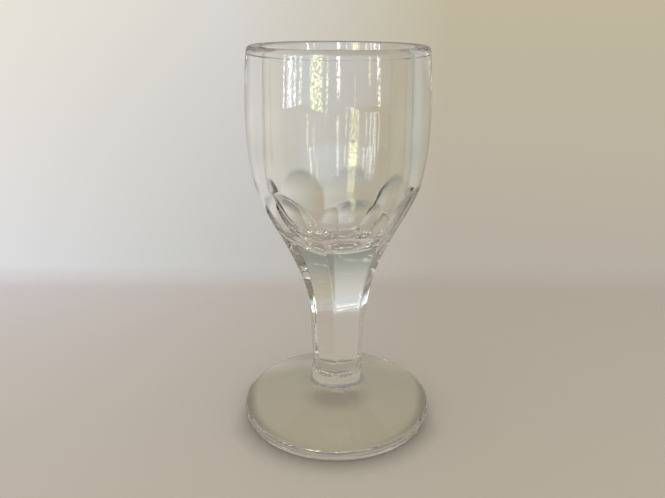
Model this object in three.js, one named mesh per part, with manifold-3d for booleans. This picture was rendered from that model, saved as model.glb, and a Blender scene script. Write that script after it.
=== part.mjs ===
// A slice-cut port glass in clear glass: a thick bowl, a short solid stem and a domed foot, fused face to face.
// Millimetres, +Z up, with the origin on the table under the middle of the foot and the viewer's side at -Y.
import * as THREE from "three";
import { mergeVertices } from "three/addons/utils/BufferGeometryUtils.js";
import Module from "manifold-3d";

// Heights, stacked from the table up.
const footHeight = 12; // table to the weld under the stem
const stemLength = 42.5; // weld to weld
const baseThickness = 4; // solid glass between the bowl's weld and the bottom of its hollow
const bowlDepth = 55.9; // bottom of the hollow to the top of the rim

// Foot.
const footDiameter = 59.6;
const footEdgeThickness = 4.5; // height of the rounded edge, where the dome starts
const footEdgeRadius = 1.5; // rounding of the edge's upper corner
const footHollowHeight = 5.5; // how far the underside rises in the middle
const footHollowCrown = 8.9; // radius over which the top of that hollow is nearly level
const footHollowSkirt = 5.3; // width over which it eases down on to the ring
const restRingWidth = 1.6; // flat ring that the glass stands on
const domeCrown = 0.3; // how far the dome bulges above a straight line
const collarFillet = 0.7; // small hollow fillet where the dome meets the stem

// Stem, and the flare that carries it into the bowl.
const stemDiameter = 15.8; // at the weld with the foot
const stemSlope = 0.06; // widening per millimetre of height there
const collarHeight = 3.4; // round and uncut, from the foot's weld to the ends of the slices
const flareTurnRise = 10.6; // height above the bowl's weld where the hollow flare turns into the round of the bowl
const flareTurnDiameter = 40.2; // width of the blank there
const flareSlope = 0.56; // widening per millimetre of height there

// Bowl.
const bellyDiameter = 52.3; // widest place
const bellyDrop = 18.3; // how far that place lies under the rim's crest
const bellyWall = 5.0;
const wellDrop = 8.95; // from the widest place down to where the hollow starts to narrow
const rimDiameter = 50.4; // outside, under the rounding of the rim
const rimRoundingWidth = 1.2; // from there in to the crest of the rim
const rimRoundingHeight = 1.6; // from there up to it
const mouthDiameter = 42.6; // at the inner edge, where the rim's nearly level top meets the hollow
const rimFall = 0.2; // how far that top falls from its crest to that edge

// Slices: flat cuts ground all round, from the collar up on to the bowl, where they run out in arched petals.
const sliceCount = 7;
const sliceTurn = -2; // degrees from the viewer's side to the lower end of the nearest arris
const sliceLean = -0.2; // degrees more for each millimetre up, as the slices were ground a little aslant
const sliceDepth = 0.05; // how far the arrises lie inside the round blank
const scallopRadius = 1.3; // wheel's run-out at a slice's lower end
const petalRise = 8; // bottom of the hollow to where the arched tops begin
const petalRadius = 25; // wheel's run-out at the arched tops
const petalRunOut = 32; // degrees of that circle, enough to carry the wheel clear of the blank

// Fullness of the free curves: the share of each one's height or width over which its end slopes hold.
const stemFullness = 0.5;
const flareFullness = 0.42;
const roundFullness = 0.37;
const bellyFullness = 0.11;
const wellFullness = 0.7;

// Fineness of the surfaces.
const turnsPerSlice = 10;
const curveSteps = 12;
const ringSpacing = 0.2; // rings of the outline closer than this to a cut end are left out
const weldDistance = 1e-4; // vertices closer than this are one
const cutterReach = 12; // how far a cutter stands outside the glass

const footWeld = footHeight;
const bowlWeld = footWeld + stemLength;
const hollowBottom = bowlWeld + baseThickness;
const rimTop = hollowBottom + bowlDepth;
const rimFoot = rimTop - rimRoundingHeight;
const bellyHeight = rimTop - bellyDrop;
const flareTurn = bowlWeld + flareTurnRise;
const sliceHalfAngle = Math.PI / sliceCount;
const sliceStart = footWeld + collarHeight;
const petalStart = hollowBottom + petalRise;
const petalEnd = petalStart + petalRadius;

const wasm = await Module();
wasm.setup();

const point = (radius, height) => new THREE.Vector2(radius, height);

// The curve's points as a chain, with its first point left to the neighbour before it.
const along = (curve, share = 1) => curve.getPoints(Math.ceil(curveSteps * share)).slice(1);

// The round blank's outline from the foot's weld to the rim: a hollow flare, a full round, and a slight draw inwards.
const flareRise = flareTurn - footWeld;
const roundRise = bellyHeight - flareTurn;
const flare = new THREE.CubicBezierCurve(
  point(stemDiameter / 2, footWeld),
  point(stemDiameter / 2 + stemSlope * stemFullness * flareRise, footWeld + stemFullness * flareRise),
  point(flareTurnDiameter / 2 - flareSlope * flareFullness * flareRise, flareTurn - flareFullness * flareRise),
  point(flareTurnDiameter / 2, flareTurn),
);
const bowlRound = new THREE.CubicBezierCurve(
  point(flareTurnDiameter / 2, flareTurn),
  point(flareTurnDiameter / 2 + flareSlope * roundFullness * roundRise, flareTurn + roundFullness * roundRise),
  point(bellyDiameter / 2, bellyHeight - bellyFullness * roundRise),
  point(bellyDiameter / 2, bellyHeight),
);
const shoulder = new THREE.QuadraticBezierCurve(
  point(bellyDiameter / 2, bellyHeight),
  point(bellyDiameter / 2, (bellyHeight + rimFoot) / 2),
  point(rimDiameter / 2, rimFoot),
);
const blankOutline = [flare.getPoint(0), ...along(flare, 2), ...along(bowlRound), ...along(shoulder, 1 / 3)];

// Radius of the round blank at a height, read between the points of its outline.
function blankRadius(height) {
  const next = blankOutline.findIndex((p) => p.y >= height);
  if (next <= 0) return blankOutline[0].x;
  const low = blankOutline[next - 1];
  const high = blankOutline[next];
  return THREE.MathUtils.mapLinear(height, low.y, high.y, low.x, high.x);
}

// The part of the blank's outline between two heights, with both ends on it.
function outlineBetween(low, high) {
  const inside = blankOutline.filter((p) => p.y > low + ringSpacing && p.y < high - ringSpacing);
  return [point(blankRadius(low), low), ...inside, point(blankRadius(high), high)];
}

// Turns a closed profile of radius and height round the Z axis, with the arrises on whole steps of the turn.
function turned(profile) {
  const start = THREE.MathUtils.degToRad(sliceTurn);
  return new THREE.LatheGeometry(profile, sliceCount * turnsPerSlice, start).rotateX(Math.PI / 2);
}

// A closed geometry as a solid that can be cut.
function solid(geometry) {
  const bare = geometry.index ? geometry.toNonIndexed() : geometry.clone();
  bare.deleteAttribute("normal");
  bare.deleteAttribute("uv");
  const welded = mergeVertices(bare, weldDistance);
  return new wasm.Manifold(
    new wasm.Mesh({
      numProp: 3,
      vertProperties: welded.attributes.position.array,
      triVerts: new Uint32Array(welded.index.array),
    }),
  );
}

// A solid as a named mesh of the glass.
function glassMesh(name, made, material) {
  const cut = made.getMesh();
  const geometry = new THREE.BufferGeometry();
  geometry.setAttribute("position", new THREE.BufferAttribute(Float32Array.from(cut.vertProperties), 3));
  geometry.setIndex(new THREE.BufferAttribute(Uint32Array.from(cut.triVerts), 1));
  geometry.computeVertexNormals();
  const mesh = new THREE.Mesh(geometry, material);
  mesh.name = name;
  return mesh;
}

// One slice's cutter: the space outside its flat, which follows the blank's outline from a scallop up to an arch.
function sliceCutter() {
  const flatAt = (height) => (blankRadius(height) - sliceDepth) * Math.cos(sliceHalfAngle);
  const scallopTop = sliceStart + scallopRadius;
  const scallop = new THREE.EllipseCurve(
    flatAt(scallopTop) + scallopRadius,
    scallopTop,
    scallopRadius,
    scallopRadius,
    1.5 * Math.PI,
    Math.PI,
    true,
  );
  const inner = scallop.getPoints(Math.ceil(curveSteps / 3));
  inner.push(...outlineBetween(scallopTop, petalStart).slice(1).map((p) => point(flatAt(p.y), p.y)));
  for (let i = 1; i <= curveSteps; i++) {
    const angle = THREE.MathUtils.degToRad(petalRunOut) * (i / curveSteps);
    const height = petalStart + petalRadius * Math.sin(angle);
    inner.push(point(flatAt(height) + petalRadius * (1 - Math.cos(angle)), height));
  }
  const outside = bellyDiameter / 2 + cutterReach;
  const shape = new THREE.Shape([point(outside, inner[0].y), ...inner, point(outside, inner.at(-1).y)]);
  return new THREE.ExtrudeGeometry(shape, { depth: 2 * outside, bevelEnabled: false })
    .translate(0, 0, -outside)
    .rotateX(Math.PI / 2);
}

// Turns a vertex about the axis by the slices' lean at its height. Round parts keep their shape.
function lean(vertex) {
  const rise = Math.max(0, Math.min(vertex[2], petalEnd) - sliceStart);
  const turn = THREE.MathUtils.degToRad(sliceLean) * rise;
  new THREE.Vector3(...vertex).applyAxisAngle(new THREE.Vector3(0, 0, 1), turn).toArray(vertex);
}

// Cuts the slices all round a piece. The flat between two arrises faces half a step on from the first of them.
function sliced(made) {
  let left = made;
  for (let i = 0; i < sliceCount; i++) {
    const facing = THREE.MathUtils.degToRad(sliceTurn - 90) + (2 * i + 1) * sliceHalfAngle;
    left = left.subtract(solid(sliceCutter().rotateZ(facing)));
  }
  return left.warp(lean);
}

// Foot: a disc that domes up to the stem, hollow underneath, with a rounded edge and a flat ring to stand on.
function foot() {
  const radius = footDiameter / 2;
  const ringOuter = radius - footEdgeRadius;
  const ringInner = ringOuter - restRingWidth;
  const collar = point(stemDiameter / 2 + collarFillet, footWeld - collarFillet / 2);
  const domeSlope = Math.atan2(collar.y - footEdgeThickness, ringOuter - collar.x);
  const hollow = new THREE.CubicBezierCurve(
    point(0, footHollowHeight),
    point(footHollowCrown, footHollowHeight),
    point(ringInner - footHollowSkirt, footHollowHeight * (footHollowSkirt / ringInner)),
    point(ringInner, 0),
  );
  const underEdge = new THREE.QuadraticBezierCurve(
    point(ringOuter, 0),
    point(radius, 0),
    point(radius, footEdgeThickness - footEdgeRadius),
  );
  const upperEdge = new THREE.EllipseCurve(
    radius - footEdgeRadius,
    footEdgeThickness - footEdgeRadius,
    footEdgeRadius,
    footEdgeRadius,
    0,
    Math.PI / 2 - domeSlope,
  );
  const edgeTop = upperEdge.getPoint(1);
  const dome = new THREE.QuadraticBezierCurve(
    edgeTop,
    point((edgeTop.x + collar.x) / 2, (edgeTop.y + collar.y) / 2 + domeCrown),
    collar,
  );
  const fillet = new THREE.QuadraticBezierCurve(
    collar,
    point(stemDiameter / 2 + collarFillet / 3, footWeld - collarFillet / 4),
    point(stemDiameter / 2, footWeld),
  );
  return turned([
    ...hollow.getPoints(Math.ceil(curveSteps / 2)),
    point(ringOuter, 0),
    ...along(underEdge, 1 / 3),
    ...along(upperEdge, 1 / 3),
    ...along(dome, 1 / 3),
    ...along(fillet, 1 / 6),
    point(0, footWeld),
  ]);
}

// Stem: solid, from the foot's weld to the bowl's, round at its collar and sliced above it.
function stem() {
  return turned([point(0, footWeld), ...outlineBetween(footWeld, bowlWeld), point(0, bowlWeld)]);
}

// Bowl: the upper part of the blank with its hollow, a round-bottomed well whose wall thins a little to the rim.
function bowl() {
  const wellRadius = bellyDiameter / 2 - bellyWall;
  const wellTop = bellyHeight - wellDrop;
  const crest = point(rimDiameter / 2 - rimRoundingWidth, rimTop);
  const mouth = point(mouthDiameter / 2, rimTop - rimFall);
  const rounding = new THREE.EllipseCurve(crest.x, rimFoot, rimRoundingWidth, rimRoundingHeight, 0, Math.PI / 2);
  const upperWell = new THREE.QuadraticBezierCurve(
    mouth,
    point(wellRadius, bellyHeight),
    point(wellRadius, wellTop),
  );
  const lowerWell = new THREE.CubicBezierCurve(
    point(wellRadius, wellTop),
    point(wellRadius, wellTop - wellFullness * (wellTop - hollowBottom)),
    point(wellFullness * wellRadius, hollowBottom),
    point(0, hollowBottom),
  );
  return turned([
    point(0, bowlWeld),
    ...outlineBetween(bowlWeld, rimFoot),
    ...along(rounding, 1 / 2),
    mouth,
    ...along(upperWell, 1 / 3),
    ...along(lowerWell),
  ]);
}

const glass = new THREE.MeshStandardMaterial({
  color: 0xe4e6e0,
  roughness: 0.03,
  metalness: 0,
  transparent: true,
  opacity: 0.35,
});

const portGlass = new THREE.Group();
portGlass.add(glassMesh("foot", solid(foot()), glass));
portGlass.add(glassMesh("stem", sliced(solid(stem())), glass));
portGlass.add(glassMesh("bowl", sliced(solid(bowl())), glass));

export default portGlass;
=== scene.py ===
import math

import bmesh
import bpy
from mathutils import Matrix, Vector


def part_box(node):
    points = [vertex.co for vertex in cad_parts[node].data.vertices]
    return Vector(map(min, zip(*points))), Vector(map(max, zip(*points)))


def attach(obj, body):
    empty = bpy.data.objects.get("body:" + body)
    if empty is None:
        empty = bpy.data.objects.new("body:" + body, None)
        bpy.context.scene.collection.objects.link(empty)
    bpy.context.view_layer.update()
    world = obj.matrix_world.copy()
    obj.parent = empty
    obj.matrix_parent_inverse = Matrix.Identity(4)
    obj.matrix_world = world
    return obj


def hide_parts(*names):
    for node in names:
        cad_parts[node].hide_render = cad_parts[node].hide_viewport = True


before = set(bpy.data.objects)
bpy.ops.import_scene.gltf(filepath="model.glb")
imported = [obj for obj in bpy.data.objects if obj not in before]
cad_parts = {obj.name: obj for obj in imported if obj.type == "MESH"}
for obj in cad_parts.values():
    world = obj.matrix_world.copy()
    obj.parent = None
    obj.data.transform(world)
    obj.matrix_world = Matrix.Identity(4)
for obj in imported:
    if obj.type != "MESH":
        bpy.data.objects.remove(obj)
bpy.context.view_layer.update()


# The foot is the last gather of glass, pressed out to a disc that domes up to the stem and is hollow
# underneath. It is clear soda glass like the rest, smooth from the fire, and stands on a narrow flat ring.
MM = 0.001
SLICES = 7  # flat cuts round the bowl and stem
TURNS = 66 * SLICES  # steps round the glass, a whole number to each slice
FOOT_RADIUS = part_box("foot")[1].x
FOOT_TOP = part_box("foot")[1].z  # weld with the stem
FOOT_EDGE_TOP = 4.5 * MM  # where the rounded edge gives way to the dome
FOOT_EDGE_ROUNDING = 1.5 * MM
FOOT_HOLLOW = 5.5 * MM  # how far the underside rises in the middle
FOOT_HOLLOW_CROWN = 8.9 * MM  # how far out its level middle pulls the curve
FOOT_HOLLOW_SKIRT = 5.3 * MM  # and how far in from the ring its sloping skirt does
REST_RING = 1.6 * MM  # width of the flat that it stands on
DOME_CROWN = 0.3 * MM  # pull of the dome's curve over a straight cone
COLLAR_FILLET = 0.7 * MM
STEM_RADIUS = 7.9 * MM  # at the weld with the foot


def linear(code):
    """A colour written as sRGB hex, such as "#C0A080", as the linear RGBA that Blender's sockets take."""
    parts = [int(code[i : i + 2], 16) / 255 for i in (1, 3, 5)]
    return [p / 12.92 if p <= 0.04045 else ((p + 0.055) / 1.055) ** 2.4 for p in parts] + [1.0]


def add_node(tree, kind, settings, inputs):
    """Adds a shader node. Inputs, by name or number, are plain values or the sockets that feed them."""
    node = tree.nodes.new("ShaderNode" + kind)
    for name, value in settings.items():
        setattr(node, name, value)
    for name, value in inputs.items():
        if isinstance(value, bpy.types.NodeSocket):
            tree.links.new(value, node.inputs[name])
        else:
            node.inputs[name].default_value = value
    return node


def new_material(name):
    """An empty node material and its tree."""
    material = bpy.data.materials.new(name)
    material.use_nodes = True
    material.node_tree.nodes.clear()
    return material, material.node_tree


def along(knots, share):
    """The point a share of the way along the Bezier curve that the (radius, height) knots pull."""
    points = [Vector(knot) for knot in knots]
    while len(points) > 1:
        points = [a.lerp(b, share) for a, b in zip(points, points[1:])]
    return points[0]


def curve(knots, steps):
    """Points along that curve, with its first one left to the neighbour before it."""
    return [along(knots, i / steps) for i in range(1, steps + 1)]


def arc(centre, reach, start, end, steps):
    """Points of an elliptic arc, from a start to an end in degrees, without its first one."""
    angles = [math.radians(start + (end - start) * i / steps) for i in range(1, steps + 1)]
    return [Vector((centre[0] + reach[0] * math.cos(a), centre[1] + reach[1] * math.sin(a))) for a in angles]


def spun(profile):
    """A closed bmesh: a chain of (radius, height) points spun once round the glass's axis."""
    bm = bmesh.new()
    chain = [bm.verts.new((radius, 0, height)) for radius, height in profile]
    for pair in zip(chain, chain[1:]):
        bm.edges.new(pair)
    geometry = bm.verts[:] + bm.edges[:]
    bmesh.ops.spin(bm, geom=geometry, axis=(0, 0, 1), angle=math.tau, steps=TURNS, use_merge=True)
    bmesh.ops.remove_doubles(bm, verts=bm.verts, dist=0.002 * MM)
    bmesh.ops.recalc_face_normals(bm, faces=bm.faces)
    return bm


def fused_piece(name, bm, welds):
    """The finished mesh object. Its flat faces at the heights of the welds are open to the next piece."""
    for face in bm.faces:
        face.smooth = True
        level = face.calc_center_median().z
        at_weld = min(abs(level - weld) for weld in welds) < 0.01 * MM
        face.material_index = int(at_weld and abs(face.normal.z) > 0.99)
    for edge in bm.edges:
        edge.smooth = len({face.material_index for face in edge.link_faces}) == 1
    mesh = bpy.data.meshes.new(name)
    bm.to_mesh(mesh)
    bm.free()
    mesh.materials.append(clear_glass)
    mesh.materials.append(weld_face)
    piece = bpy.data.objects.new(name, mesh)
    bpy.context.scene.collection.objects.link(piece)
    return piece


# Soda-lime glass, blown and pressed, its skin fire-polished: mirror-smooth, but wavy enough to bend a
# reflection. It is all but clear face on, and edge on its colour is painted greyer, a painted shade for the
# dim room seen along its skin.
SWELL_SPACING = 9 * MM  # from one low wave of the skin to the next
SWELL_HEIGHT = 0.05 * MM
EDGE_ON_START = 0.72  # how far a face is turned away when the grey sets in, from 0 to 1
EDGE_ON_FULL = 0.95
clear_glass, tree = new_material("fire_polished_soda_glass")
place = add_node(tree, "TexCoord", {}, {})
swell = add_node(
    tree,
    "TexNoise",
    {},
    {"Vector": place.outputs["Object"], "Scale": 1 / SWELL_SPACING, "Detail": 3.0, "Roughness": 0.35},
)
wave = add_node(tree, "Bump", {}, {"Height": swell.outputs[0], "Strength": 1.0, "Distance": SWELL_HEIGHT})
skin = add_node(tree, "LayerWeight", {}, {"Blend": 0.5})
edge = add_node(
    tree,
    "MapRange",
    {},
    {"Value": skin.outputs["Facing"], "From Min": EDGE_ON_START, "From Max": EDGE_ON_FULL},
)
# Painted shade: the glass's colour turns from clear to grey where a face is seen edge on.
painted_edge_shade = add_node(
    tree, "MixRGB", {}, {"Fac": edge.outputs[0], "Color1": linear("#FCFCF9"), "Color2": linear("#6E6E6A")}
)
shader = add_node(
    tree,
    "BsdfPrincipled",
    {},
    {
        "Base Color": painted_edge_shade.outputs[0],
        "Roughness": 0.0,
        "IOR": 1.52,
        "Transmission Weight": 1.0,
        "Normal": wave.outputs[0],
    },
)
add_node(tree, "OutputMaterial", {}, {"Surface": shader.outputs["BSDF"]})

# Where two gathers are fused the glass runs on, so the weld faces bend no light and show nothing.
weld_face, tree = new_material("fused_weld")
shader = add_node(tree, "BsdfTransparent", {}, {"Color": (1.0, 1.0, 1.0, 1.0)})
add_node(tree, "OutputMaterial", {}, {"Surface": shader.outputs["BSDF"]})

ring_outer = FOOT_RADIUS - FOOT_EDGE_ROUNDING
ring_inner = ring_outer - REST_RING
edge_middle = FOOT_EDGE_TOP - FOOT_EDGE_ROUNDING
collar = Vector((STEM_RADIUS + COLLAR_FILLET, FOOT_TOP - COLLAR_FILLET / 2))
dome_slope = math.degrees(math.atan2(collar.y - FOOT_EDGE_TOP, ring_outer - collar.x))
foot_profile = [Vector((0, FOOT_HOLLOW))]
foot_profile += curve(
    [
        (0, FOOT_HOLLOW),
        (FOOT_HOLLOW_CROWN, FOOT_HOLLOW),
        (ring_inner - FOOT_HOLLOW_SKIRT, FOOT_HOLLOW * FOOT_HOLLOW_SKIRT / ring_inner),
        (ring_inner, 0),
    ],
    30,
)
foot_profile += curve([(ring_inner, 0), (ring_outer, 0)], 2)
foot_profile += curve([(ring_outer, 0), (FOOT_RADIUS, 0), (FOOT_RADIUS, edge_middle)], 14)
foot_profile += arc((ring_outer, edge_middle), (FOOT_EDGE_ROUNDING,) * 2, 0, 90 - dome_slope, 14)
edge_end = foot_profile[-1]
foot_profile += curve([edge_end, (edge_end + collar) / 2 + Vector((0, DOME_CROWN)), collar], 40)
foot_profile += curve(
    [collar, (STEM_RADIUS + COLLAR_FILLET / 3, FOOT_TOP - COLLAR_FILLET / 4), (STEM_RADIUS, FOOT_TOP)], 8
)
foot_profile += [Vector((0, FOOT_TOP))]
foot = fused_piece("foot_disc", spun(foot_profile), [FOOT_TOP])
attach(foot, "root")
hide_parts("foot")


# The stem is a solid gather drawn down from the bowl, round at its collar and ground with seven flats above
# it. A wheel has run out of each flat in a shallow scallop, and a last polish has eased the arrises.
STEM_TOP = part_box("stem")[1].z  # weld with the bowl
RIM_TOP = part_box("bowl")[1].z
STEM_SLOPE = 0.06
STEM_PULL = 0.5  # how far each end of the stem's curve holds to its slope, as a share of the rise
FLARE_PULL = 0.42
FLARE_TURN = STEM_TOP + 10.6 * MM  # where the hollow flare turns into the round of the bowl
FLARE_TURN_RADIUS = 20.1 * MM
FLARE_SLOPE = 0.56
ROUND_PULL = 0.37  # the same at the two ends of the round above the flare
BELLY_PULL = 0.11
BELLY_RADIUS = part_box("bowl")[1].x
BELLY_HEIGHT = RIM_TOP - 18.3 * MM
RIM_RADIUS = 25.2 * MM  # outside, under the rounding of the rim
RIM_ROUNDING = Vector((1.2, 1.6)) * MM  # from there in and up to the crest
SLICE_TURN = 2  # degrees to the viewer's left of the nearest arris, at its foot
SLICE_LEAN = 0.2  # degrees more for each millimetre up, as the cutter held the glass a little aslant
SLICE_DEPTH = 0.05 * MM
ARRIS_ROUNDING = 0.35 * MM
POLISH = 0.3 * MM  # how far a last polish has eased the slices' edges into the round glass
SCALLOP_START = FOOT_TOP + 3.4 * MM
SCALLOP_RADIUS = 1.3 * MM
PETAL_START = STEM_TOP + 12 * MM
PETAL_RADIUS = 25 * MM
HALF_SLICE = math.pi / SLICES
rim_foot = RIM_TOP - RIM_ROUNDING.y
flare_rise = FLARE_TURN - FOOT_TOP
round_rise = BELLY_HEIGHT - FLARE_TURN
BLANK = (
    (
        (STEM_RADIUS, FOOT_TOP),
        (STEM_RADIUS + STEM_SLOPE * STEM_PULL * flare_rise, FOOT_TOP + STEM_PULL * flare_rise),
        (FLARE_TURN_RADIUS - FLARE_SLOPE * FLARE_PULL * flare_rise, FLARE_TURN - FLARE_PULL * flare_rise),
        (FLARE_TURN_RADIUS, FLARE_TURN),
    ),
    (
        (FLARE_TURN_RADIUS, FLARE_TURN),
        (FLARE_TURN_RADIUS + FLARE_SLOPE * ROUND_PULL * round_rise, FLARE_TURN + ROUND_PULL * round_rise),
        (BELLY_RADIUS, BELLY_HEIGHT - BELLY_PULL * round_rise),
        (BELLY_RADIUS, BELLY_HEIGHT),
    ),
    (
        (BELLY_RADIUS, BELLY_HEIGHT),
        (BELLY_RADIUS, (BELLY_HEIGHT + rim_foot) / 2),
        (RIM_RADIUS, rim_foot),
    ),
)


def blank_radius(height):
    """Radius of the round blank at a height, found by halving the outline's curve that passes it."""
    knots = next((knots for knots in BLANK if height <= knots[-1][1]), BLANK[-1])
    low, high = 0.0, 1.0
    for _ in range(40):
        middle = (low + high) / 2
        if along(knots, middle).y < height:
            low = middle
        else:
            high = middle
    return along(knots, low).x


def levels(*stretches):
    """Heights of rings in stretches of (start, end, spacing), each even."""
    heights = [stretches[0][0]]
    for start, end, spacing in stretches:
        count = math.ceil((end - start) / spacing)
        heights += [start + (end - start) * i / count for i in range(1, count + 1)]
    return heights


def flat_distance(height):
    """Distance from the axis to the flats at a height, with the wheel's round run-outs at both ends."""
    distance = (blank_radius(height) - SLICE_DEPTH) * math.cos(HALF_SLICE)
    below = min(max(0.0, SCALLOP_START + SCALLOP_RADIUS - height), SCALLOP_RADIUS)
    above = min(max(0.0, height - PETAL_START), PETAL_RADIUS)
    distance += SCALLOP_RADIUS - math.sqrt(SCALLOP_RADIUS**2 - below**2)
    return distance + PETAL_RADIUS - math.sqrt(PETAL_RADIUS**2 - above**2)


def slice_turn(height):
    """Radians from the viewer's side to the nearest arris at a height."""
    rise = min(height, PETAL_START + PETAL_RADIUS) - SCALLOP_START
    return -math.radians(SLICE_TURN + SLICE_LEAN * max(0.0, rise) / MM)


def grind_slices(bm):
    """Brings each point of the outside that lies in front of a flat back on to it, with the arrises eased."""
    rings = {}
    for vert in bm.verts:
        radius = math.hypot(vert.co.x, vert.co.y)
        height = vert.co.z
        if height < SCALLOP_START or height > PETAL_START + PETAL_RADIUS:
            continue
        key = round(height / MM, 4)
        if key not in rings:
            rings[key] = (flat_distance(height), blank_radius(height))
        flat, blank = rings[key]
        if radius < blank - 0.01 * MM:
            continue
        bearing = math.atan2(vert.co.y, vert.co.x) % (2 * HALF_SLICE)
        from_arris = min(bearing, 2 * HALF_SLICE - bearing)
        hub = (flat - ARRIS_ROUNDING) / math.cos(HALF_SLICE)  # centre of the arris's rounding
        if math.tan(HALF_SLICE - from_arris) * flat < hub * math.sin(HALF_SLICE):
            ground = flat / math.cos(HALF_SLICE - from_arris)
        else:
            across = hub * math.sin(from_arris)
            ground = hub * math.cos(from_arris) + math.sqrt(ARRIS_ROUNDING**2 - across**2)
        eased = min(ground, radius) - max(0.0, POLISH - abs(ground - radius)) ** 2 / (4 * POLISH)
        vert.co.x *= eased / radius
        vert.co.y *= eased / radius
    for vert in bm.verts:
        vert.co.rotate(Matrix.Rotation(slice_turn(vert.co.z) - math.pi / 2, 3, "Z"))
    bmesh.ops.recalc_face_normals(bm, faces=bm.faces)
    return bm


scallop_top = SCALLOP_START + SCALLOP_RADIUS
stem_heights = levels(
    (FOOT_TOP, SCALLOP_START, 0.4 * MM),
    (SCALLOP_START, scallop_top, 0.07 * MM),
    (scallop_top, STEM_TOP, 0.4 * MM),
)
stem_profile = [Vector((0, FOOT_TOP))]
stem_profile += [Vector((blank_radius(height), height)) for height in stem_heights]
stem_profile += [Vector((0, STEM_TOP))]
stem = fused_piece("sliced_stem", grind_slices(spun(stem_profile)), [FOOT_TOP, STEM_TOP])
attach(stem, "root")
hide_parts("stem")


# The bowl is blown thick, with a round-bottomed well, a fire-polished rim and a solid base fused to the stem.
# The stem's seven flats run on up its base, where the wheel leaves the round glass in arched petals.
RIM_FALL = 0.2 * MM  # how far the rim's flat top falls to the inside
MOUTH_RADIUS = 21.3 * MM
MOUTH_EASING = 0.2 * MM
LEDGE_DROP = 2.6 * MM  # a fine ledge runs round the inside this far under the rim, where the plunger stopped
LEDGE = 0.15 * MM
LEDGE_RADIUS = 21 * MM  # inside, under the ledge
BELLY_WALL = 5.0 * MM
BASE = 4 * MM  # solid glass between the weld and the bottom of the well
WELL_NARROWING = 8.95 * MM  # from the belly down to where the well's side starts to round in
WELL_FULLNESS = 0.7
well_radius = BELLY_RADIUS - BELLY_WALL
well_top = BELLY_HEIGHT - WELL_NARROWING
well_bottom = STEM_TOP + BASE
crest = Vector((RIM_RADIUS - RIM_ROUNDING.x, RIM_TOP))
mouth = Vector((MOUTH_RADIUS, RIM_TOP - RIM_FALL))
ledge_foot = Vector((LEDGE_RADIUS, RIM_TOP - LEDGE_DROP - LEDGE))
ledge_top = Vector((LEDGE_RADIUS + LEDGE, RIM_TOP - LEDGE_DROP))
petal_top = PETAL_START + 0.5 * PETAL_RADIUS
bowl_heights = levels(
    (STEM_TOP, PETAL_START, 0.5 * MM),
    (PETAL_START, petal_top, 0.2 * MM),
    (petal_top, rim_foot, 1.6 * MM),
)
bowl_profile = [Vector((0, STEM_TOP))]
bowl_profile += [Vector((blank_radius(height), height)) for height in bowl_heights]
bowl_profile += arc((crest.x, rim_foot), RIM_ROUNDING, 0, 90, 16)
top_end = mouth + Vector((MOUTH_EASING, 0))
mouth_side = mouth - Vector((0, MOUTH_EASING))
bowl_profile += curve([crest, top_end], 8)
bowl_profile += curve([top_end, mouth, mouth_side], 6)
bowl_profile += curve([mouth_side, ledge_top], 8)
bowl_profile += curve([ledge_top, ledge_foot], 3)
bowl_profile += curve([ledge_foot, ledge_foot - Vector((0, LEDGE))], 2)
bowl_profile += curve([bowl_profile[-1], (well_radius, BELLY_HEIGHT), (well_radius, well_top)], 26)
bowl_profile += curve(
    [
        (well_radius, well_top),
        (well_radius, well_top - WELL_FULLNESS * (well_top - well_bottom)),
        (WELL_FULLNESS * well_radius, well_bottom),
        (0, well_bottom),
    ],
    36,
)
bowl = fused_piece("petalled_bowl", grind_slices(spun(bowl_profile)), [STEM_TOP])
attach(bowl, "root")
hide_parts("bowl")


# The table is a flat pale matt cloth, pinker to the left and yellower to the right. It ends a hand's breadth
# behind the glass, where the wall shows. Painted shadow and painted light in its colour stand in for part of
# the shade and light that the thick glass casts round the foot, because tracing rays through clear glass
# finds little of that light.
TABLE_BACK = 110 * MM
TABLE_REACH = 1.0  # metres, in front and to each side
TABLE_FADE = 17 * MM  # over which it fades into the wall
SEAM_SHARE = 0.5  # how far table and wall each fade into the other where they meet
TABLE_GAP = 0.05 * MM  # keeps the table's face clear of the foot's ring
TONE_LEFT = -160 * MM  # the cloth's colour turns from pink to yellow between these
TONE_RIGHT = 40 * MM
TONE_FRONT = -50 * MM  # and to its far tone from here to its back edge
CLOTH_FAR_LEFT = "#CBC5C4"
CLOTH_FAR_RIGHT = "#B0A699"
WALL_LOW_LEFT = "#DBDBDD"
WALL_LOW_RIGHT = "#B7AEA2"
bm = bmesh.new()
bmesh.ops.create_grid(bm, x_segments=1, y_segments=1, size=1)
bmesh.ops.scale(bm, vec=(TABLE_REACH, (TABLE_REACH + TABLE_BACK) / 2, 1), verts=bm.verts)
bmesh.ops.translate(bm, vec=(0, (TABLE_BACK - TABLE_REACH) / 2, -TABLE_GAP), verts=bm.verts)
mesh = bpy.data.meshes.new("table")
bm.to_mesh(mesh)
bm.free()
table = bpy.data.objects.new("table", mesh)
bpy.context.scene.collection.objects.link(table)
table_cloth, tree = new_material("pale_table_cloth")
place = add_node(tree, "TexCoord", {}, {})
split = add_node(tree, "SeparateXYZ", {}, {0: place.outputs["Object"]})
across = add_node(
    tree,
    "MapRange",
    {"interpolation_type": "LINEAR"},
    {"Value": split.outputs["X"], "From Min": TONE_LEFT, "From Max": TONE_RIGHT},
)
depth = add_node(
    tree,
    "MapRange",
    {"interpolation_type": "LINEAR"},
    {"Value": split.outputs["Y"], "From Min": TONE_FRONT, "From Max": TABLE_BACK},
)
far_tone = add_node(
    tree,
    "MixRGB",
    {},
    {"Fac": across.outputs[0], "Color1": linear(CLOTH_FAR_LEFT), "Color2": linear(CLOTH_FAR_RIGHT)},
)
near_tone = add_node(
    tree, "MixRGB", {}, {"Fac": across.outputs[0], "Color1": linear("#C1B7AB"), "Color2": linear("#B8AE9E")}
)
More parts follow.
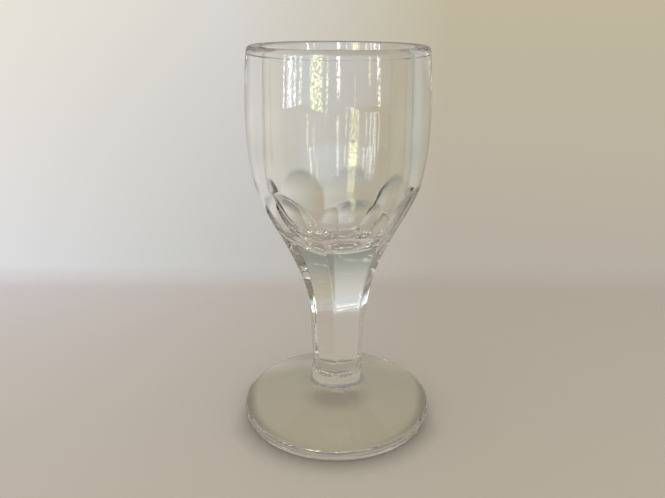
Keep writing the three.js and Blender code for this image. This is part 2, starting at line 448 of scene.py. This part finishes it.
tone = add_node(
    tree,
    "MixRGB",
    {},
    {"Fac": depth.outputs[0], "Color1": near_tone.outputs[0], "Color2": far_tone.outputs[0]},
)
fold = add_node(
    tree,
    "MapRange",
    {"interpolation_type": "SMOOTHSTEP"},
    {
        "Value": split.outputs["Y"],
        "From Min": TABLE_BACK - TABLE_FADE,
        "From Max": TABLE_BACK,
        "To Max": SEAM_SHARE,
    },
)
wall_tone = add_node(
    tree,
    "MixRGB",
    {},
    {"Fac": across.outputs[0], "Color1": linear(WALL_LOW_LEFT), "Color2": linear(WALL_LOW_RIGHT)},
)
cloth = add_node(
    tree, "MixRGB", {}, {"Fac": fold.outputs[0], "Color1": tone.outputs[0], "Color2": wall_tone.outputs[0]}
)

# Distances on the cloth from the places where painted shadow and painted light stand in for what the glass
# shades
# or lights: its axis, the stem's shadow, two patches of light beside the collar, and the shadow line under
# the foot's edge.
STEM_SHADE = (0.0, 5 * MM, 0.0)
LEFT_PAINTED_LIGHT = (-21 * MM, 24 * MM, 0.0)
RIGHT_PAINTED_LIGHT = (18 * MM, 25 * MM, 0.0)
EDGE_SHADOW_RADIUS = 28.5 * MM
EDGE_SHADOW_FADE = 0.25  # how fast the line under the edge fades out behind the axis
CONTACT_START = 14 * MM  # in front of the axis, from where the shade round the foot fades backwards
CONTACT_FADE = 0.4
flat_place = add_node(
    tree, "VectorMath", {"operation": "MULTIPLY"}, {0: place.outputs["Object"], 1: (1.0, 1.0, 0.0)}
)
from_axis = add_node(tree, "VectorMath", {"operation": "LENGTH"}, {0: flat_place.outputs[0]})
from_stem, from_left_light, from_right_light = [
    add_node(tree, "VectorMath", {"operation": "DISTANCE"}, {0: flat_place.outputs[0], 1: spot})
    for spot in (STEM_SHADE, LEFT_PAINTED_LIGHT, RIGHT_PAINTED_LIGHT)
]
off_edge_shadow = add_node(
    tree, "Math", {"operation": "SUBTRACT"}, {0: from_axis.outputs["Value"], 1: EDGE_SHADOW_RADIUS}
)
off_edge_shadow = add_node(tree, "Math", {"operation": "ABSOLUTE"}, {0: off_edge_shadow.outputs[0]})
behind_axis = add_node(tree, "Math", {"operation": "MAXIMUM"}, {0: split.outputs["Y"], 1: 0.0})
from_edge_shadow = add_node(
    tree,
    "Math",
    {"operation": "MULTIPLY_ADD"},
    {0: behind_axis.outputs[0], 1: EDGE_SHADOW_FADE, 2: off_edge_shadow.outputs[0]},
)

# Painted shadow: the cloth's colour is darkened close in under the front of the foot, as a contact shadow.
behind_front = add_node(tree, "Math", {"operation": "ADD"}, {0: split.outputs["Y"], 1: CONTACT_START})
behind_front = add_node(tree, "Math", {"operation": "MAXIMUM"}, {0: behind_front.outputs[0], 1: 0.0})
from_contact_shadow = add_node(
    tree,
    "Math",
    {"operation": "MULTIPLY_ADD"},
    {0: behind_front.outputs[0], 1: CONTACT_FADE, 2: from_edge_shadow.outputs[0]},
)
contact_shadow_mask = add_node(
    tree,
    "MapRange",
    {"interpolation_type": "SMOOTHSTEP"},
    {"Value": from_contact_shadow.outputs[0], "From Min": 9 * MM, "From Max": 0.5 * MM},
)
painted_contact_shadow = add_node(
    tree,
    "MixRGB",
    {"blend_type": "MULTIPLY"},
    {"Fac": contact_shadow_mask.outputs[0], "Color1": cloth.outputs[0], "Color2": (0.76, 0.76, 0.77, 1.0)},
)
matt = add_node(tree, "BsdfDiffuse", {}, {"Color": painted_contact_shadow.outputs[0]})

# Seen through the glass or mirrored in it, the cloth glows with these painted shadows and painted patches of
# light.
# Each is a distance, where it is full, where it ends, and what it multiplies the cloth's red, green and blue
# by.
PAINTED_GLASS_CASTS = (
    (from_axis.outputs["Value"], 28 * MM, 38 * MM, (0.9, 0.89, 0.79, 1.0)),
    (from_stem.outputs["Value"], 3 * MM, 13 * MM, (0.66, 0.65, 0.68, 1.0)),
    (from_left_light.outputs["Value"], 2 * MM, 11 * MM, (1.3, 1.3, 1.36, 1.0)),
    (from_right_light.outputs["Value"], 2 * MM, 11 * MM, (1.22, 1.22, 1.28, 1.0)),
    (from_edge_shadow.outputs[0], 1 * MM, 4.5 * MM, (0.55, 0.54, 0.54, 1.0)),
)
EVEN_LIGHT = 0.8  # share of its light that the cloth gives the glass evenly, whatever shadow lies on it
painted_shade_and_light = cloth.outputs[0]
for distance, near, far, share in PAINTED_GLASS_CASTS:
    near_it = add_node(
        tree,
        "MapRange",
        {"interpolation_type": "SMOOTHSTEP"},
        {"Value": distance, "From Min": far, "From Max": near},
    )
    painted_shade_and_light = add_node(
        tree,
        "MixRGB",
        {"blend_type": "MULTIPLY"},
        {"Fac": near_it.outputs[0], "Color1": painted_shade_and_light, "Color2": share},
    ).outputs[0]
even = add_node(tree, "Emission", {}, {"Color": painted_shade_and_light, "Strength": 1.0})
path = add_node(tree, "LightPath", {}, {})
in_glass = add_node(
    tree,
    "Math",
    {"operation": "MAXIMUM"},
    {0: path.outputs["Is Transmission Ray"], 1: path.outputs["Is Glossy Ray"]},
)
evenness = add_node(tree, "Math", {"operation": "MULTIPLY"}, {0: in_glass.outputs[0], 1: EVEN_LIGHT})
shader = add_node(tree, "MixShader", {}, {0: evenness.outputs[0], 1: matt.outputs[0], 2: even.outputs[0]})
add_node(tree, "OutputMaterial", {}, {"Surface": shader.outputs[0]})
mesh.materials.append(table_cloth)


# The room: a pale wall behind the glass, a dim room round it, and daylight from tall windows on the viewer's
# side. The glass mirrors and bends all of it. The camera sees the wall alone. Plain white lights the table.
WALL_SPLITS = (-28, -9, 9)  # where the wall's three tones lie, in degrees from straight behind the glass
WALL_LOWEST = -20  # degrees below the level, where the wall has its low tones
SEAM_SLOPE = -0.4154  # fall of the sight line that meets the table's back edge
SEAM_FADE_SLOPE = -0.395  # and of the one where the cloth's tone has faded out up the wall
world = bpy.data.worlds.new("room")
bpy.context.scene.world = world
world.use_nodes = True
tree = world.node_tree
tree.nodes.clear()
path = add_node(tree, "LightPath", {}, {})
look = add_node(tree, "TexCoord", {}, {})
split = add_node(tree, "SeparateXYZ", {}, {0: look.outputs["Generated"]})
back = add_node(tree, "Math", {"operation": "MULTIPLY"}, {0: split.outputs["Y"], 1: -1.0})
bearing = add_node(tree, "Math", {"operation": "ARCTAN2"}, {0: split.outputs["X"], 1: back.outputs[0]})
behind = add_node(tree, "Math", {"operation": "ARCTAN2"}, {0: split.outputs["X"], 1: split.outputs["Y"]})
rise = add_node(tree, "Math", {"operation": "ARCSINE"}, {0: split.outputs["Z"]})

wall_left = add_node(
    tree,
    "MapRange",
    {"interpolation_type": "LINEAR"},
    {
        "Value": behind.outputs[0],
        "From Min": math.radians(WALL_SPLITS[0]),
        "From Max": math.radians(WALL_SPLITS[1]),
    },
)
wall_right = add_node(
    tree,
    "MapRange",
    {"interpolation_type": "LINEAR"},
    {
        "Value": behind.outputs[0],
        "From Min": math.radians(WALL_SPLITS[1]),
        "From Max": math.radians(WALL_SPLITS[2]),
    },
)
wall_rise = add_node(
    tree,
    "MapRange",
    {"interpolation_type": "LINEAR"},
    {"Value": rise.outputs[0], "From Min": math.radians(WALL_LOWEST), "From Max": 0.0},
)
rows = []
for left, middle, right in (
    (WALL_LOW_LEFT, "#C3C2BD", WALL_LOW_RIGHT),
    ("#EAE4DA", "#D8D6D0", "#C0B79E"),
    (CLOTH_FAR_LEFT, "#BDB6B2", CLOTH_FAR_RIGHT),
):
    row = add_node(
        tree, "MixRGB", {}, {"Fac": wall_left.outputs[0], "Color1": linear(left), "Color2": linear(middle)}
    )
    row = add_node(
        tree, "MixRGB", {}, {"Fac": wall_right.outputs[0], "Color1": row.outputs[0], "Color2": linear(right)}
    )
    rows.append(row.outputs[0])
wall_low, wall_high, far_cloth = rows
wall = add_node(tree, "MixRGB", {}, {"Fac": wall_rise.outputs[0], "Color1": wall_low, "Color2": wall_high})
fall = add_node(tree, "Math", {"operation": "DIVIDE"}, {0: split.outputs["Z"], 1: split.outputs["Y"]})
fold = add_node(
    tree,
    "MapRange",
    {"interpolation_type": "SMOOTHSTEP"},
    {"Value": fall.outputs[0], "From Min": SEAM_FADE_SLOPE, "From Max": SEAM_SLOPE, "To Max": SEAM_SHARE},
)
wall = add_node(tree, "MixRGB", {}, {"Fac": fold.outputs[0], "Color1": wall.outputs[0], "Color2": far_cloth})

# Past the edges of the picture the wall goes on, a little darker on its light side and lighter on its dark
# side. Over the picture it darkens upwards. Only the glass shows those parts.
aside = add_node(tree, "Math", {"operation": "ABSOLUTE"}, {0: behind.outputs[0]})
turning = add_node(
    tree,
    "MapRange",
    {"interpolation_type": "SMOOTHSTEP"},
    {"Value": aside.outputs[0], "From Min": math.radians(28), "From Max": math.radians(44)},
)
wide_tone = add_node(
    tree,
    "MixRGB",
    {},
    {"Fac": wall_right.outputs[0], "Color1": linear("#D6D5D0"), "Color2": linear("#C5C1B6")},
)
wide_wall = add_node(
    tree, "MixRGB", {}, {"Fac": turning.outputs[0], "Color1": wall.outputs[0], "Color2": wide_tone.outputs[0]}
)
WALL_HALF_WIDTH = 75  # degrees each side of straight behind the glass
WALL_TOP = 58  # degrees above the level
in_wall = add_node(
    tree, "Math", {"operation": "COMPARE"}, {0: behind.outputs[0], 1: 0.0, 2: math.radians(WALL_HALF_WIDTH)}
)
under_top = add_node(
    tree, "Math", {"operation": "LESS_THAN"}, {0: rise.outputs[0], 1: math.radians(WALL_TOP)}
)
on_wall = add_node(tree, "Math", {"operation": "MULTIPLY"}, {0: in_wall.outputs[0], 1: under_top.outputs[0]})
over_picture = add_node(
    tree,
    "MapRange",
    {"interpolation_type": "LINEAR"},
    {"Value": rise.outputs[0], "From Min": math.radians(-9), "From Max": math.radians(11)},
)
high_wall = add_node(
    tree,
    "MixRGB",
    {},
    {"Fac": over_picture.outputs[0], "Color1": wide_wall.outputs[0], "Color2": linear("#8E908A")},
)
room = add_node(
    tree,
    "MixRGB",
    {},
    {"Fac": on_wall.outputs[0], "Color1": linear("#55534A"), "Color2": high_wall.outputs[0]},
)

# Bluish daylight fills the viewer's side of the room, from sill to lintel, and thins out towards its corners.
DAYLIGHT_STRENGTH = 2.6
front = add_node(tree, "Math", {"operation": "ABSOLUTE"}, {0: bearing.outputs[0]})
front_side = add_node(
    tree,
    "MapRange",
    {"interpolation_type": "SMOOTHSTEP"},
    {"Value": front.outputs[0], "From Min": math.radians(78), "From Max": math.radians(34)},
)
over_sill = add_node(
    tree,
    "MapRange",
    {"interpolation_type": "SMOOTHSTEP"},
    {"Value": rise.outputs[0], "From Min": math.radians(-7), "From Max": math.radians(-2)},
)
under_lintel = add_node(
    tree,
    "MapRange",
    {"interpolation_type": "SMOOTHSTEP"},
    {"Value": rise.outputs[0], "From Min": math.radians(26), "From Max": math.radians(12)},
)
daylight = add_node(
    tree, "Math", {"operation": "MULTIPLY"}, {0: over_sill.outputs[0], 1: under_lintel.outputs[0]}
)
daylight = add_node(
    tree, "Math", {"operation": "MULTIPLY"}, {0: daylight.outputs[0], 1: front_side.outputs[0]}
)
sky = [DAYLIGHT_STRENGTH * channel for channel in linear("#B4CDFF")[:3]] + [1.0]
room = add_node(tree, "MixRGB", {}, {"Fac": daylight.outputs[0], "Color1": room.outputs[0], "Color2": sky})

# Leaves outside break each window up into spots of light a degree or two across.
leaf_place = add_node(
    tree, "VectorMath", {"operation": "MULTIPLY"}, {0: look.outputs["Generated"], 1: (1.0, 1.0, 2.5)}
)
leaf_noise = add_node(
    tree, "TexNoise", {}, {"Vector": leaf_place.outputs[0], "Scale": 26.0, "Detail": 3.0, "Roughness": 0.6}
)
leaves = add_node(
    tree, "MapRange", {}, {"Value": leaf_noise.outputs[0], "From Min": 0.47, "From Max": 0.58, "To Min": 0.06}
)

# Each window has, in degrees, its bearing from the viewer's side, half its width, the height of its middle
# and half its height, then its colour and strength. Its edges are soft, from well inside to a little outside.
PANE_FULL = 0.6  # as a share of half the width or height
PANE_END = 1.3
WINDOWS = (
    (-67, 1.2, 2, 10, "#F4F8FF", 18.0),
    (-59, 3.6, 1, 11, "#EAF6FF", 21.0),
    (-52, 1.8, 3, 9, "#FFFFFF", 19.0),
    (-45, 2.2, -1, 9, "#FFF6F0", 12.0),
    (-25.5, 7.5, 11, 21, "#ECF0B4", 20.0),
    (-12.5, 1.2, 1, 6, "#FFFDF0", 16.0),
    (0, 2.2, 6, 7, "#FFFFFF", 26.0),
    (19.5, 1.0, 0, 5, "#FFFFFF", 6.0),
    (37.5, 1.6, 9, 7, "#F4F2C0", 13.0),
    (48.5, 2.0, 0, 11, "#FFFAEC", 20.0),
)
light = room.outputs[0]
for middle, half_width, height, half_height, colour, strength in WINDOWS:
    pane = leaves.outputs[0]
    for direction, centre, half in ((bearing, middle, half_width), (rise, height, half_height)):
        away = add_node(
            tree, "Math", {"operation": "SUBTRACT"}, {0: direction.outputs[0], 1: math.radians(centre)}
        )
        away = add_node(tree, "Math", {"operation": "ABSOLUTE"}, {0: away.outputs[0]})
        inside = add_node(
            tree,
            "MapRange",
            {"interpolation_type": "SMOOTHSTEP"},
            {
                "Value": away.outputs[0],
                "From Min": math.radians(half * PANE_END),
                "From Max": math.radians(half * PANE_FULL),
            },
        )
        pane = add_node(tree, "Math", {"operation": "MULTIPLY"}, {0: pane, 1: inside.outputs[0]}).outputs[0]
    bright = [channel * strength for channel in linear(colour)[:3]] + [1.0]
    light = add_node(tree, "MixRGB", {}, {"Fac": pane, "Color1": light, "Color2": bright}).outputs[0]

# Light that the facets have turned round more than once comes out weaker and browner, because the glass is
# not perfectly clear.
TURNED_SHARE = 0.7
turned_round = add_node(
    tree,
    "MapRange",
    {},
    {"Value": path.outputs["Glossy Depth"], "From Min": 1.0, "From Max": 2.0, "To Max": TURNED_SHARE},
)
light = add_node(
    tree, "MixRGB", {}, {"Fac": turned_round.outputs[0], "Color1": light, "Color2": linear("#8A8078")}
).outputs[0]

# The camera sees the wall, the glass shows the room, and what has bounced off the cloth meets plain white.
seen = add_node(
    tree, "MixRGB", {}, {"Fac": path.outputs["Is Camera Ray"], "Color1": light, "Color2": wall.outputs[0]}
)
through = add_node(
    tree,
    "Math",
    {"operation": "MAXIMUM"},
    {0: path.outputs["Is Transmission Ray"], 1: path.outputs["Is Glossy Ray"]},
)
looking = add_node(
    tree, "Math", {"operation": "MAXIMUM"}, {0: through.outputs[0], 1: path.outputs["Is Camera Ray"]}
)
direct = add_node(tree, "Math", {"operation": "LESS_THAN"}, {0: path.outputs["Diffuse Depth"], 1: 0.5})
to_eye = add_node(tree, "Math", {"operation": "MULTIPLY"}, {0: looking.outputs[0], 1: direct.outputs[0]})
all_light = add_node(
    tree, "MixRGB", {}, {"Fac": to_eye.outputs[0], "Color1": (1.0, 1.0, 1.0, 1.0), "Color2": seen.outputs[0]}
)
background = add_node(tree, "Background", {}, {"Color": all_light.outputs[0], "Strength": 1.0})
add_node(tree, "OutputWorld", {}, {"Surface": background.outputs[0]})

# Light crosses many faces of cut glass before it reaches the eye.
scene = bpy.context.scene
scene.cycles.max_bounces = 32
scene.cycles.transmission_bounces = 32
scene.cycles.glossy_bounces = 16
scene.cycles.transparent_max_bounces = 32
scene.view_settings.view_transform = "Standard"


# The camera stands where the photograph's stood: a forearm from the glass, a little higher than its rim, and
# looking down on it. Its place and tilt follow from the ellipses of the rim and the foot.
CAMERA_PLACE = Vector((0, -188.4, 123.96)) * MM
CAMERA_PITCH = 20.06  # degrees below the level
CAMERA_ROLL = 0.31  # degrees
FOCAL_PIXELS = 661.2
FRAME_WIDTH = 665  # pixels
AXIS_OFFSET = 4.8  # pixels from the frame's middle to the glass's axis
camera_data = bpy.data.cameras.new("camera")
camera_data.sensor_width = 36  # mm
camera_data.lens = camera_data.sensor_width * FOCAL_PIXELS / FRAME_WIDTH
camera_data.shift_x = -AXIS_OFFSET / FRAME_WIDTH
camera_data.clip_start = 10 * MM
camera = bpy.data.objects.new("camera", camera_data)
scene.collection.objects.link(camera)
pitch = Matrix.Rotation(math.radians(90 - CAMERA_PITCH), 4, "X")
roll = Matrix.Rotation(math.radians(CAMERA_ROLL), 4, "Z")
camera.matrix_world = Matrix.Translation(CAMERA_PLACE) @ pitch @ roll
scene.camera = camera
